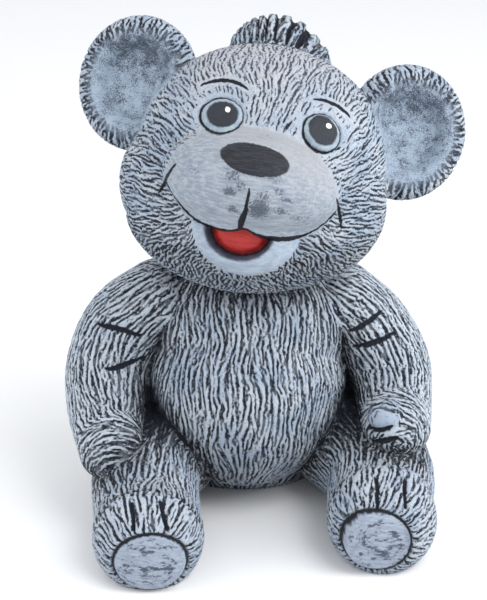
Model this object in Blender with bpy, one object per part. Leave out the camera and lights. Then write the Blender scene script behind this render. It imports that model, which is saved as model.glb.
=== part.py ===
"""A seated teddy bear garden statue, cast in one piece of concrete.

Blender 4.5, metres, +Z up. The bear faces -Y and its flat underside lies on Z = 0, with the
origin under the middle of its outline. The figure is drawn on a grid whose unit is a
millimetre of a statue FIGURE_GRID units tall, so every form and carving below is a share of
STATUE_HEIGHT.
"""

import math

import bmesh
import bpy
import numpy as np
from mathutils import Matrix, Vector

# Driving size
STATUE_HEIGHT = 0.4
FIGURE_GRID = 400.0
UNIT = STATUE_HEIGHT / FIGURE_GRID

# How finely the clay and the casting are drawn
CLAY_VOXEL = 3.0
CLAY_SETTLING = 4
CASTING_TRIANGLES = 9800

# The origin, on the grid the figure is drawn on
ORIGIN = (6.8, -23.0)

# Head: the place of its middle, and its pose in degrees
HEAD_CENTRE = (3.0, -8.0, 290.0)
HEAD_TURN = -6.5
HEAD_LIFT = 18.0
HEAD_TILT = 8.5

# Forms of the head in its own frame, whose face looks along -Y: centre, half sizes
HEAD_FORMS = {
    "skull": ((0, 4, 12), (98, 86, 86)),
    "cheeks": ((-2, 0, -18), (105, 82, 75)),
    "jowls": ((-10, -6, -40), (88, 70, 56)),
    "nape": ((-3, 22, -32), (86, 66, 66)),
    "muzzle": ((-3, -66, -6), (67, 57, 38)),
    "jaw": ((-3, -54, -45), (46, 41, 37)),
}

# Ears: a dished disc on each side of the head
EAR_RADIUS = 50.0
EAR_TALL = 1.07
EAR_RIM = 12.0
EAR_DISH_DEPTH = 15.0
EAR_BACK = 17.0
EAR_REACH = 106.0
EAR_RISE = 49.5
EAR_SETBACK = 14.0
EAR_SPLAY = 16.0
EAR_LOCKS = 26
EAR_LOCK_DEPTH = 1.3

# Forelock on the crown, in locks that fan up from its root
FORELOCK_CENTRE = (-4, 22, 88)
FORELOCK_SIZES = (39, 24, 35)
FORELOCK_ROOT = 60.0
FORELOCK_LOCKS = 30.0
FORELOCK_LOCK_DEPTH = 3.0

# Eyes: raised discs, each in a carved ring
EYE_CENTRES = ((-32.5, 33.5), (40.0, 35.5))
EYE_RADII = (15.0, 13.4)
EYE_HEIGHT = 1.4
EYE_RING_WIDTH = 1.8
EYE_RING_DEPTH = 2.4

# Brows: where each starts, crests and ends
BROWS = (((-54, 55), (-33, 62.5), (-16.5, 58.5)), ((30, 60.5), (45, 60), (60.5, 52)))
BROW_WIDTH = 1.9
BROW_DEPTH = 1.8

# Bare muzzle above the lip and bare chin below it
MUZZLE_MIDDLE = (-2, -15)
MUZZLE_RADII = (64, 48)
CHIN_MIDDLE = (0, -42)
CHIN_RADII = (42, 36)

# Nose, lip and mouth
NOSE_CENTRE = (-2.5, 10)
NOSE_RADII = (25, 11)
NOSE_HEIGHT = 1.8
LIP_MIDDLE = -1.0
LIP_HALF_WIDTH = 63.0
LIP_LEVEL = -44.5
LIP_NOTCH = 3.7
LIP_NOTCH_WIDTH = 8.0
LIP_RISE = 27.0
LIP_WIDTH = 2.2
LIP_DEPTH = 3.0
LIP_PARTING_TOP = -12.0
LIP_PARTING_DEPTH = 2.6
MOUTH_CENTRE = (-6, -43)
MOUTH_RADII = (31, 24)
MOUTH_DEPTH = 13.0
TONGUE_CENTRE = (-4, -43)
TONGUE_RADII = (23, 18)
TONGUE_HEIGHT = 6.5
SMILE_CREASES = (((-58, -3), (-65, -17), (-70, -29)), ((60, -7), (65, -18), (68.5, -30)))
SMILE_CREASE_DEPTH = 2.0

# Body forms: centre, half sizes
BODY_FORMS = {
    "belly": ((-3, 15, 98.5), (86, 86, 91.5)),
    "chest": ((0, 14, 150), (84, 64, 66)),
    "back": ((0, 34, 106), (104, 56, 92)),
    "seat": ((0, 44, 44), (92, 66, 62)),
}

# Limbs as strings of balls: centre, radius
LIMBS = {
    "left arm": (
        ((-74, 14, 172), 34),
        ((-100, 14, 150), 36),
        ((-115, 8, 118), 36),
        ((-117, -12, 90), 34),
        ((-113, -54, 72), 28),
    ),
    "right arm": (
        ((74, 14, 170), 33),
        ((98, 14, 146), 35),
        ((115, 8, 116), 36),
        ((118, -14, 98), 33),
        ((115, -56, 90), 28),
    ),
    "left leg": (
        ((-64, 10, 42), 48),
        ((-86, -44, 43), 44),
        ((-86, -92, 28), 43),
        ((-86, -116, 29), 44),
    ),
    "right leg": (
        ((79, 10, 46), 48),
        ((104, -41, 42), 45),
        ((101, -82, 32), 43),
        ((99, -104, 32), 44),
    ),
}
BALLS_PER_LIMB = 15
THUMB = ((103, -69, 107), (15, 14, 14))

# Creases across the arms and across the right hand: start, middle, end
ARM_CREASES = (
    ((-124, -10, 161), (-110, -18, 161), (-90, -20, 155)),
    ((-118, -26, 129), (-103, -26, 131), (-87, -17, 134)),
    ((79, -19, 156), (92, -19, 163), (106, -13, 172)),
    ((82, -19, 141), (99, -23, 147), (117, -17, 154)),
    ((89, -75, 95), (99, -82, 95), (113, -80, 97)),
)
ARM_CREASE_WIDTH = 2.4
ARM_CREASE_DEPTH = 3.0

# Feet: each sole's middle and radii on its front, the cuff behind its toes, and the toe clefts
FEET = (
    {
        "sole": (-85, -153, 26),
        "radii": (27.5, 25.5),
        "cuff": ((-122, -112, 50), (-88, -129, 73), (-50, -132, 48)),
        "clefts": (-98.5, -74.5),
    },
    {
        "sole": (90, -139, 33),
        "radii": (26, 25.5),
        "cuff": ((62, -92, 58), (101, -106, 76), (136, -114, 52)),
        "clefts": (90.5, 114.0),
    },
)
SOLE_DOME = 3.0
SOLE_RING_WIDTH = 2.2
SOLE_RING_DEPTH = 3.0
CUFF_WIDTH = 3.4
CUFF_DEPTH = 3.2
CLEFT_WIDTH = 2.4
CLEFT_DEPTH = 3.0
CLEFT_LENGTH = 27.0

# Seams pressed in where one form meets the next
SEAM_WIDTH = 4.5
SEAM_DEPTH = 3.5

# Locks of fur, which run with the coat and are left off the bare places
LOCK_SPACING = 9.0
LOCK_LENGTH = 44.0
LOCK_DEPTH = 3.0
LOCK_TAPS = 8
LOCK_SEED = 7

PAINT = {"colour": (0.43, 0.49, 0.56, 1.0), "roughness": 0.8, "metallic": 0.0}


def head_matrix():
    """Carries the head's own frame to the figure's."""
    tilt = Matrix.Rotation(math.radians(HEAD_TILT), 4, "Y")
    lift = Matrix.Rotation(math.radians(-HEAD_LIFT), 4, "X")
    turn = Matrix.Rotation(math.radians(HEAD_TURN), 4, "Z")
    return Matrix.Translation(Vector(HEAD_CENTRE)) @ turn @ lift @ tilt


def ear_matrix(side):
    """Carries an ear's own frame, whose dish looks along -Y, to the figure's."""
    place = Matrix.Translation(Vector((side * EAR_REACH, EAR_SETBACK, EAR_RISE)))
    return head_matrix() @ place @ Matrix.Rotation(math.radians(side * EAR_SPLAY), 4, "Z")


def to_frame(points, matrix):
    """Points of the figure in the frame that the matrix carries to it."""
    matrix = np.array(matrix)
    return (points - matrix[:3, 3]) @ matrix[:3, :3]


def limb_balls(limb):
    """The limb's balls as rows of x, y, z and radius, evenly along a smooth line through its own."""
    own = np.array([(*centre, radius) for centre, radius in limb], float)
    rows = [2 * own[0] - own[1], *own, 2 * own[-1] - own[-2]]
    steps = round(BALLS_PER_LIMB / (len(own) - 1))
    balls = []
    for before, start, end, after in zip(rows, rows[1:], rows[2:], rows[3:]):
        for t in np.arange(steps) / steps:
            along = (end - before) * t
            bend = (2 * before - 5 * start + 4 * end - after) * t**2
            twist = (3 * start - before - 3 * end + after) * t**3
            balls.append(start + (along + bend + twist) / 2)
    return np.array([*balls, own[-1]])


def add_ball(clay, centre, sizes, frame=Matrix.Identity(4)):
    """Adds an ellipsoid of clay."""
    place = frame @ Matrix.Translation(Vector(centre)) @ Matrix.Diagonal((*sizes, 1.0))
    bmesh.ops.create_icosphere(clay, subdivisions=4, radius=1.0, matrix=place)


def ear_section():
    """The ear's half section as reach and depth: its dish, round its rim, to the middle of its back."""
    dish_edge = EAR_RADIUS - 2 * EAR_RIM
    floor = EAR_DISH_DEPTH - EAR_RIM
    dish = [(dish_edge * t, floor * math.cos(t * math.pi / 2)) for t in np.linspace(0, 1, 6)]
    rim = []
    for angle in np.radians(np.linspace(170, -60, 12)):
        rim.append((EAR_RADIUS - EAR_RIM + EAR_RIM * math.cos(angle), -EAR_RIM * math.sin(angle)))
    back = [((EAR_RADIUS - EAR_RIM) * t, EAR_BACK - EAR_RIM / 2 * t**2) for t in (0.75, 0.5, 0.25, 0)]
    return dish + rim + back


def add_ear(clay, side):
    """Adds one ear: its half section turned about the middle of its dish."""
    ear = bmesh.new()
    profile = [ear.verts.new((reach, depth, 0)) for reach, depth in ear_section()]
    edges = [ear.edges.new(pair) for pair in zip(profile, profile[1:])]
    bmesh.ops.spin(
        ear,
        geom=profile + edges,
        cent=(0, 0, 0),
        axis=(0, 1, 0),
        angle=2 * math.pi,
        steps=48,
        use_merge=True,
    )
    bmesh.ops.remove_doubles(ear, verts=ear.verts, dist=1e-3)
    place = ear_matrix(side) @ Matrix.Diagonal((1.0, 1.0, EAR_TALL, 1.0))
    bmesh.ops.transform(ear, matrix=place, verts=ear.verts)
    mesh = bpy.data.meshes.new("ear")
    ear.to_mesh(mesh)
    ear.free()
    clay.from_mesh(mesh)
    bpy.data.meshes.remove(mesh)


def rough_clay():
    """Every form of the bear in one mesh, still as overlapping closed shells."""
    clay = bmesh.new()
    for side in (-1, 1):
        add_ear(clay, side)
    for centre, sizes in HEAD_FORMS.values():
        add_ball(clay, centre, sizes, head_matrix())
    add_ball(clay, FORELOCK_CENTRE, FORELOCK_SIZES, head_matrix())
    for centre, sizes in BODY_FORMS.values():
        add_ball(clay, centre, sizes)
    for limb in LIMBS.values():
        for x, y, z, radius in limb_balls(limb):
            add_ball(clay, (x, y, z), (radius, radius, radius))
    add_ball(clay, *THUMB)
    bmesh.ops.recalc_face_normals(clay, faces=clay.faces)
    return clay


def settle(obj):
    """Applies the object's modifiers."""
    graph = bpy.context.evaluated_depsgraph_get()
    mesh = bpy.data.meshes.new_from_object(obj.evaluated_get(graph))
    obj.modifiers.clear()
    obj.data = mesh
    return mesh


def model_clay(name):
    """The forms fused into one skin with softened joins, as fine as the carving needs."""
    mesh = bpy.data.meshes.new(name)
    clay = rough_clay()
    clay.to_mesh(mesh)
    clay.free()
    obj = bpy.data.objects.new(name, mesh)
    bpy.context.scene.collection.objects.link(obj)
    skin = obj.modifiers.new("skin", "REMESH")
    skin.mode = "VOXEL"
    skin.voxel_size = CLAY_VOXEL
    soften = obj.modifiers.new("soften", "SMOOTH")
    soften.iterations = CLAY_SETTLING
    fine = obj.modifiers.new("fine", "SUBSURF")
    fine.levels = fine.render_levels = 1
    settle(obj)
    return obj


def read_vectors(items, name):
    values = np.empty(len(items) * 3, np.float32)
    items.foreach_get(name, values)
    return values.reshape(-1, 3).astype(float)


def ramp(low, high, value):
    """0 at low, 1 at high, eased between them."""
    t = np.clip((value - low) / (high - low), 0, 1)
    return t * t * (3 - 2 * t)


def bump(distance, width):
    """1 at no distance, fading out over the width."""
    return np.exp(-((distance / width) ** 2))


def oval(x, z, centre, radii):
    """Distance from an oval's middle, 1 on its outline."""
    return np.hypot((x - centre[0]) / radii[0], (z - centre[1]) / radii[1])


def stroke_distance(points, start, middle, end):
    """Distance of the points from a bent stroke through its three."""
    start, middle, end = (np.array(p, float) for p in (start, middle, end))
    nearest = np.full(len(points), np.inf)
    for t in np.linspace(0, 1, 25):
        spot = (1 - t) * (1 - 2 * t) * start + 4 * t * (1 - t) * middle + t * (2 * t - 1) * end
        nearest = np.minimum(nearest, np.linalg.norm(points - spot, axis=1))
    return nearest


def off_ellipsoid(points, centre, sizes):
    """About how far the points lie outside an ellipsoid."""
    scaled = (points - np.array(centre, float)) / sizes
    level = np.linalg.norm(scaled, axis=1)
    slope = np.maximum(np.linalg.norm(scaled / sizes, axis=1), 1e-9)
    return level * (level - 1) / slope


def lip_line(x):
    """Height of the line between the muzzle and the jaw, in the head's frame."""
    u = x - LIP_MIDDLE
    rise = LIP_RISE * np.minimum(np.abs(u) / LIP_HALF_WIDTH, 1.2) ** 4
    return LIP_LEVEL + LIP_NOTCH * bump(u, LIP_NOTCH_WIDTH) + rise


class Regions:
    """How far each point is outside each group of forms, and how the coat runs there."""

    def __init__(self, points):
        self.points = points
        self.head = to_frame(points, head_matrix())
        self.ears = [to_frame(points, ear_matrix(side)) for side in (-1, 1)]
        self.off = {
            "head": np.min([off_ellipsoid(self.head, *form) for form in HEAD_FORMS.values()], axis=0),
            "torso": np.min([off_ellipsoid(points, *form) for form in BODY_FORMS.values()], axis=0),
            "forelock": off_ellipsoid(self.head, FORELOCK_CENTRE, FORELOCK_SIZES),
        }
        for side, ear in zip(("left ear", "right ear"), self.ears):
            reach = np.hypot(ear[:, 0], ear[:, 2] / EAR_TALL) - (EAR_RADIUS - EAR_RIM)
            self.off[side] = np.hypot(np.maximum(reach, 0), ear[:, 1]) - EAR_RIM
        self.along = {}
        for name, limb in LIMBS.items():
            balls = limb_balls(limb)
            paths = np.gradient(balls[:, :3], axis=0)
            gaps = np.array([np.linalg.norm(points - b[:3], axis=1) - b[3] for b in balls])
            self.off[name] = gaps.min(axis=0)
            self.along[name] = paths[gaps.argmin(axis=0)]

    def coat(self, normals):
        """The direction the fur lies in at each point, along the surface."""
        head_spin = np.array(head_matrix())[:3, :3]
        from_face = self.head - np.array((-3.0, -110.0, -10.0))
        lie = {"head": (from_face + (0, 0, -0.5) * np.maximum(self.head[:, 1:2], 0)) @ head_spin.T}
        lie["forelock"] = (self.head - (FORELOCK_CENTRE[0], 22, FORELOCK_ROOT)) @ head_spin.T
        lie["torso"] = np.tile((0.0, -0.15, -1.0), (len(self.points), 1))
        for side, ear, name in zip((-1, 1), self.ears, ("left ear", "right ear")):
            lie[name] = (ear * (1, 0, 1)) @ np.array(ear_matrix(side))[:3, :3].T
        lie.update(self.along)
        for foot, name in zip(FEET, ("left leg", "right leg")):
            from_sole = self.points - np.array(foot["sole"], float)
            distance = np.linalg.norm(from_sole, axis=1, keepdims=True)
            near = ramp(80, 45, distance)
            path = lie[name] / np.linalg.norm(lie[name], axis=1, keepdims=True)
            lie[name] = near * from_sole / distance - (1 - near) * path
        total = np.zeros_like(self.points)
        for name, direction in lie.items():
            share = np.exp(-np.maximum(self.off[name] + 4, 0) / 2.5)[:, None]
            total += share * direction / np.maximum(np.linalg.norm(direction, axis=1, keepdims=True), 1e-6)
        total -= normals * (total * normals).sum(axis=1, keepdims=True)
        return total / np.maximum(np.linalg.norm(total, axis=1, keepdims=True), 1e-6)

    def bare(self):
        """1 where the surface is left smooth: muzzle, chin, eyes, ear dishes and soles."""
        x, y, z = self.head.T
        front = ramp(-25, -45, y) * ramp(12, 6, self.off["head"])
        muzzle = ramp(1.06, 0.98, oval(x, z, MUZZLE_MIDDLE, MUZZLE_RADII)) * ramp(-3, 0, z - lip_line(x))
        chin = ramp(1.1, 0.95, oval(x, z, CHIN_MIDDLE, CHIN_RADII)) * ramp(2, -1, z - lip_line(x))
        bare = np.maximum(muzzle, chin)
        for centre in EYE_CENTRES:
            bare = np.maximum(bare, ramp(1.5, 1.2, oval(x, z, centre, EYE_RADII)))
        bare *= front
        for ear in self.ears:
            dish = ramp(0.82, 0.74, oval(ear[:, 0], ear[:, 2], (0, 0), (EAR_RADIUS, EAR_RADIUS * EAR_TALL)))
            bare = np.maximum(bare, dish * ramp(4, 0, ear[:, 1]) * ramp(30, 20, np.abs(ear[:, 1])))
        for foot in FEET:
            sole_x, sole_y, sole_z = foot["sole"]
            disc = ramp(1.1, 1.0, oval(self.points[:, 0], self.points[:, 2], (sole_x, sole_z), foot["radii"]))
            bare = np.maximum(bare, disc * ramp(sole_y + 25, sole_y + 15, self.points[:, 1]))
        return bare


def carve_face(regions):
    """How far the face is carved in along the head's own Y axis."""
    x, y, z = regions.head.T
    flat = np.column_stack((x, z))
    front = ramp(-25, -45, y) * ramp(14, 8, regions.off["head"])
    push = np.zeros(len(x))
    off_muzzle = ramp(0.97, 1.03, oval(x, z, MUZZLE_MIDDLE, MUZZLE_RADII))
    for centre in EYE_CENTRES:
        ring = oval(x, z, centre, EYE_RADII)
        push -= EYE_HEIGHT * ramp(1.0, 0.85, ring) * off_muzzle
        push += EYE_RING_DEPTH * bump((ring - 1.08) * EYE_RADII[0], EYE_RING_WIDTH) * off_muzzle
    for brow in BROWS:
        push += BROW_DEPTH * bump(stroke_distance(flat, *brow), BROW_WIDTH)
    for crease in SMILE_CREASES:
        push += SMILE_CREASE_DEPTH * bump(stroke_distance(flat, *crease), LIP_WIDTH)
    push -= NOSE_HEIGHT * ramp(1.05, 0.85, oval(x, z, NOSE_CENTRE, NOSE_RADII))
    above_lip = z - lip_line(x)
    in_lip = ramp(LIP_HALF_WIDTH + 3, LIP_HALF_WIDTH - 2, np.abs(x - LIP_MIDDLE))
    push += LIP_DEPTH * bump(above_lip, LIP_WIDTH) * in_lip
    parting = bump(x - NOSE_CENTRE[0], LIP_WIDTH * 0.8) * ramp(LIP_PARTING_TOP, LIP_PARTING_TOP - 12, z)
    push += LIP_PARTING_DEPTH * parting * ramp(-2, 0, above_lip)
    below_lip = ramp(0.5, -2.5, above_lip)
    push += MOUTH_DEPTH * ramp(1.0, 0.82, oval(x, z, MOUTH_CENTRE, MOUTH_RADII)) * below_lip
    push -= TONGUE_HEIGHT * ramp(1.0, 0.75, oval(x, z, TONGUE_CENTRE, TONGUE_RADII)) * below_lip
    return push * front


def carve_sole(points, foot):
    """How far the front of a foot is carved in along Y, for its sole and the ring round it."""
    sole_x, sole_y, sole_z = foot["sole"]
    x, y, z = points.T
    ring = oval(x, z, (sole_x, sole_z), foot["radii"])
    ahead = ramp(sole_y + 25, sole_y + 12, y)
    dome = sole_y - SOLE_DOME * (1 - ring**2)
    level = (dome - y) * ramp(1.02, 0.94, ring)
    return (level + SOLE_RING_DEPTH * bump((ring - 1.04) * foot["radii"][0], SOLE_RING_WIDTH)) * ahead


def carve_foot(points, foot):
    """How deep the cuff behind the toes and the clefts between them are."""
    sole_x, sole_y, sole_z = foot["sole"]
    x, y, z = points.T
    depth = CUFF_DEPTH * bump(stroke_distance(points, *foot["cuff"]), CUFF_WIDTH)
    toe_top = sole_z + foot["radii"][1] + 1
    for cleft in foot["clefts"]:
        reach = ramp(toe_top, toe_top + 3, z) * ramp(sole_y + CLEFT_LENGTH + 4, sole_y + CLEFT_LENGTH, y)
        depth += CLEFT_DEPTH * bump(x - cleft, CLEFT_WIDTH) * reach
    return depth * ramp(60, 45, np.abs(x - sole_x))


def carve_seams(off):
    """How deep the lines are where one form meets the next."""
    depth = np.zeros(len(off["head"]))
    meetings = (
        ("torso", "head"),
        ("torso", "left arm"),
        ("torso", "right arm"),
        ("torso", "left leg"),
        ("torso", "right leg"),
        ("left arm", "left leg"),
        ("right arm", "right leg"),
        ("left ear", "head"),
        ("right ear", "head"),
        ("forelock", "head"),
    )
    for one, other in meetings:
        both_near = ramp(12, 6, np.maximum(off[one], off[other]))
        depth = np.maximum(depth, SEAM_DEPTH * bump(off[one] - off[other], SEAM_WIDTH) * both_near)
    return depth


def lattice_noise(points, spacing, seed):
    """Smooth noise from -1 to 1 on a cubic lattice of the spacing."""
    size = 64
    grid = np.random.RandomState(seed).uniform(-1, 1, (size, size, size))
    scaled = points / spacing + 1000
    cell = np.floor(scaled).astype(int)
    part = scaled - cell
    part = part * part * (3 - 2 * part)
    value = np.zeros(len(points))
    for corner in np.ndindex(2, 2, 2):
        weight = np.prod(np.where(corner, part, 1 - part), axis=1)
        value += weight * grid[tuple(((cell + corner) % size).T)]
    return value


def fur_locks(points, coat):
    """Depth of the furrows between locks of fur, from 0 to 1: noise drawn out along the coat."""
    drawn = np.zeros(len(points))
    for reach in np.linspace(-LOCK_LENGTH / 2, LOCK_LENGTH / 2, LOCK_TAPS):
        drawn += lattice_noise(points + reach * coat, LOCK_SPACING, LOCK_SEED)
    drawn /= drawn.std()
    return ramp(-1.0, 1.7, drawn)


def carve(points, normals):
    """The clay's points after carving."""
    regions = Regions(points)
    inward = np.array(head_matrix())[:3, 1]
    moved = points + carve_face(regions)[:, None] * inward
    depth = carve_seams(regions.off)
    for foot in FEET:
        moved[:, 1] += carve_sole(points, foot)
        depth = np.maximum(depth, carve_foot(points, foot))
    for crease in ARM_CREASES:
        depth = np.maximum(depth, ARM_CREASE_DEPTH * bump(stroke_distance(points, *crease), ARM_CREASE_WIDTH))
    root = regions.head - (FORELOCK_CENTRE[0], 0, FORELOCK_ROOT)
    fan = np.arctan2(root[:, 0], root[:, 2])
    in_lock = ramp(3, 0, regions.off["forelock"]) * ramp(-2, 6, regions.off["head"])
    depth += FORELOCK_LOCK_DEPTH * (0.5 + 0.5 * np.cos(fan * FORELOCK_LOCKS)) * in_lock
    furry = (1 - regions.bare()) * (1 - in_lock)
    for side, ear in zip(("left ear", "right ear"), regions.ears):
        on_ear = ramp(3, 0, regions.off[side]) * ramp(4, 9, regions.off["head"])
        turn = np.arctan2(ear[:, 0], ear[:, 2])
        depth += EAR_LOCK_DEPTH * (0.5 + 0.5 * np.cos(turn * EAR_LOCKS)) * on_ear * furry
        furry *= 1 - on_ear
    depth += LOCK_DEPTH * fur_locks(points, regions.coat(normals)) * furry
    return moved - normals * depth[:, None]


def cut_underside(mesh):
    """Cuts the casting off flat where it stands on the ground."""
    form = bmesh.new()
    form.from_mesh(mesh)
    everything = form.verts[:] + form.edges[:] + form.faces[:]
    cut = bmesh.ops.bisect_plane(
        form, geom=everything, dist=1e-5, plane_co=(0, 0, 0), plane_no=(0, 0, -1), clear_outer=True
    )
    rim = [edge for edge in cut["geom_cut"] if isinstance(edge, bmesh.types.BMEdge)]
    bmesh.ops.edgeloop_fill(form, edges=rim)
    bmesh.ops.triangulate(form, faces=form.faces[:])
    bmesh.ops.recalc_face_normals(form, faces=form.faces[:])
    form.to_mesh(mesh)
    form.free()


def painted_concrete():
    """Pale blue-grey paint over concrete."""
    material = bpy.data.materials.new("painted_concrete")
    material.use_nodes = True
    shader = material.node_tree.nodes["Principled BSDF"]
    shader.inputs["Base Color"].default_value = PAINT["colour"]
    shader.inputs["Roughness"].default_value = PAINT["roughness"]
    shader.inputs["Metallic"].default_value = PAINT["metallic"]
    return material


def build():
    for obj in list(bpy.data.objects):
        bpy.data.objects.remove(obj)
    bear = model_clay("teddy_bear")
    points = read_vectors(bear.data.vertices, "co")
    normals = read_vectors(bear.data.vertex_normals, "vector")
    bear.data.vertices.foreach_set("co", carve(points, normals).astype(np.float32).ravel())
    bear.data.update()
    thin = bear.modifiers.new("thin", "DECIMATE")
    thin.ratio = CASTING_TRIANGLES / (2 * len(bear.data.polygons))
    mesh = settle(bear)
    mesh.transform(Matrix.Scale(UNIT, 4) @ Matrix.Translation(Vector((-ORIGIN[0], -ORIGIN[1], 0))))
    cut_underside(mesh)
    mesh.materials.append(painted_concrete())
    mesh.shade_smooth()
    mesh.set_sharp_from_angle(angle=math.radians(50))


build()
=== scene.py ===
"""A seated teddy bear garden statue: carved and painted cast concrete, on a studio floor.

The bear is modelled in millimetres on the grid that its figure was drawn on, and is set down in
metres at the end. Left and right are as seen from the front.
"""

import math

import bpy
import numpy as np
from mathutils import Matrix, Vector


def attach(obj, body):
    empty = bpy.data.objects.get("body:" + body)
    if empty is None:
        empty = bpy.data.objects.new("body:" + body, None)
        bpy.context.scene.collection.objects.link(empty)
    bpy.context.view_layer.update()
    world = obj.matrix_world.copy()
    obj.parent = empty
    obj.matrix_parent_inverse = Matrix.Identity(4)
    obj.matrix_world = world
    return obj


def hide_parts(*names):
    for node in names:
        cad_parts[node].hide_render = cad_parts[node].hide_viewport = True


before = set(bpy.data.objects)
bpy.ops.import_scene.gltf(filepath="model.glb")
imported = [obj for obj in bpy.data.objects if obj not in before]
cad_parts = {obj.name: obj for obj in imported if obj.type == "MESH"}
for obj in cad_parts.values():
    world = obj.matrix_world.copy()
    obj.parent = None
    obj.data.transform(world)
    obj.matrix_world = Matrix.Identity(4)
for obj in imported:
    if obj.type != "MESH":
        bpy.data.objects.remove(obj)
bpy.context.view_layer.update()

MM = 0.001
ORIGIN = (6.8, -23.0)
CLAY_VOXEL = 1.2
CLAY_SETTLING = 24
CASTING_TRIANGLES = 192000

HEAD_CENTRE = (3.0, -8.0, 290.0)
HEAD_TURN = -6.5
HEAD_LIFT = 18.0
HEAD_TILT = 8.5
HEAD_FORMS = {
    "skull": ((0, 4, 12), (98, 86, 86)),
    "cheeks": ((-2, 0, -18), (105, 82, 75)),
    "jowls": ((-10, -6, -40), (88, 70, 56)),
    "nape": ((-3, 22, -32), (86, 66, 66)),
    "muzzle": ((-3, -66, -6), (67, 57, 38)),
    "jaw": ((-3, -54, -45), (46, 41, 37)),
}

EAR_RADIUS = 50.0
EAR_TALL = 1.07
EAR_RIM = 12.0
EAR_DISH_DEPTH = 15.0
EAR_BACK = 17.0
EAR_REACH = 106.0
EAR_RISE = 49.5
EAR_SETBACK = 14.0
EAR_SPLAY = 16.0

FORELOCK_CENTRE = (-4, 22, 88)
FORELOCK_SIZES = (39, 24, 35)
FORELOCK_SIDE = ((12, 22, 84), (30, 21, 29))
FORELOCK_ROOT = 60.0
# Each lock's angle in the fan and its half width, in degrees
FORELOCK_LOCKS = (
    (-43, 3.0),
    (-36, 2.9),
    (-29.5, 2.8),
    (-23.5, 2.9),
    (-16.7, 3.2),
    (-8.3, 3.9),
    (2.4, 5.0),
    (14.9, 4.6),
    (30.5, 4.4),
    (42, 3.6),
)

EYES = (
    {
        "middle": (-32.9, 36.5),
        "radii": (15.1, 12.0),
        "turn": math.radians(10),
        "pupil": (-32.8, 37.4),
        "pupil radii": (11.5, 9.0),
        "glint": (-29.6, 41.3),
    },
    {
        "middle": (41.2, 37.3),
        "radii": (14.2, 12.0),
        "turn": math.radians(-40),
        "pupil": (41.5, 39.3),
        "pupil radii": (11.6, 9.0),
        "glint": (45.0, 43.0),
    },
)
GLINT_RADIUS = 1.95
BROWS = (((-54, 55), (-33, 62.5), (-16.5, 58.5)), ((30, 60.5), (45, 60), (60.5, 52)))
SMILE_CREASES = (((-58, -3), (-65, -17), (-70, -29)), ((60, -7), (65, -18), (68.5, -30)))
MUZZLE_MIDDLE = (-2, -15)
MUZZLE_RADII = (64, 48)
# Middle, radii and strength
MUZZLE_SMUDGES = (
    ((-15.5, -3), (6, 5), 0.75),
    ((-15.6, -14.8), (4.5, 3.5), 0.95),
    ((-11.5, -27), (4, 3), 0.9),
    ((6.5, -23.5), (7.5, 7), 0.98),
    ((9, -14), (6, 4), 0.75),
    ((18.3, -9), (4, 3), 0.65),
    ((24.7, -14), (4.5, 2), 0.8),
    ((21.8, -22.4), (5, 2.5), 0.8),
    ((13.1, 0.1), (6, 3.5), 0.65),
    ((-8.6, -9.5), (4, 4), 0.75),
    ((36, -26), (12, 4), 0.55),
    ((-43, -5), (5, 4), 0.5),
    ((2, 27), (8, 3), 0.5),
)
CHIN_MIDDLE = (-0.5, -41.5)
CHIN_RADII = (38.5, 33)
NOSE_CENTRE = (-2.5, 10)
NOSE_RADII = (25, 11)
LIP_MIDDLE = -1.0
LIP_HALF_WIDTH = 63.0
LIP_LEVEL = -44.5
LIP_NOTCH = 3.7
LIP_NOTCH_WIDTH = 8.0
LIP_RISE = 27.0
LIP_PARTING_TOP = -12.0
PARTING_UPPER = ((-2.8, -9.5), (-2.4, -22), (-4.2, -31))
PARTING_LOWER = ((-1.5, -24), (-4.0, -33), (-4.6, -43))
MOUTH_CENTRE = (-4.8, -43)
MOUTH_RADII = (26, 22)
TONGUE_CENTRE = (-4, -43)
TONGUE_RADII = (21, 17.3)

BODY_FORMS = {
    "belly": ((-3, 15, 98.5), (86, 86, 91.5)),
    "chest": ((0, 14, 150), (84, 64, 66)),
    "back": ((0, 34, 106), (104, 56, 92)),
    "seat": ((0, 44, 44), (92, 66, 62)),
}
LIMBS = {
    "left arm": (
        ((-74, 14, 172), 34),
        ((-100, 14, 150), 36),
        ((-115, 8, 118), 36),
        ((-117, -12, 90), 34),
        ((-113, -54, 72), 28),
    ),
    "right arm": (
        ((74, 14, 170), 33),
        ((98, 14, 146), 35),
        ((115, 8, 116), 36),
        ((118, -14, 98), 33),
        ((115, -56, 90), 28),
    ),
    "left leg": (
        ((-64, 10, 42), 48),
        ((-86, -44, 43), 44),
        ((-86, -92, 28), 43),
        ((-86, -116, 29), 44),
    ),
    "right leg": (
        ((79, 10, 46), 48),
        ((104, -41, 42), 45),
        ((101, -82, 32), 43),
        ((99, -104, 32), 44),
    ),
}
BALLS_PER_LIMB = 15
THUMB = ((103, -69, 107), (15, 14, 14))

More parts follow.
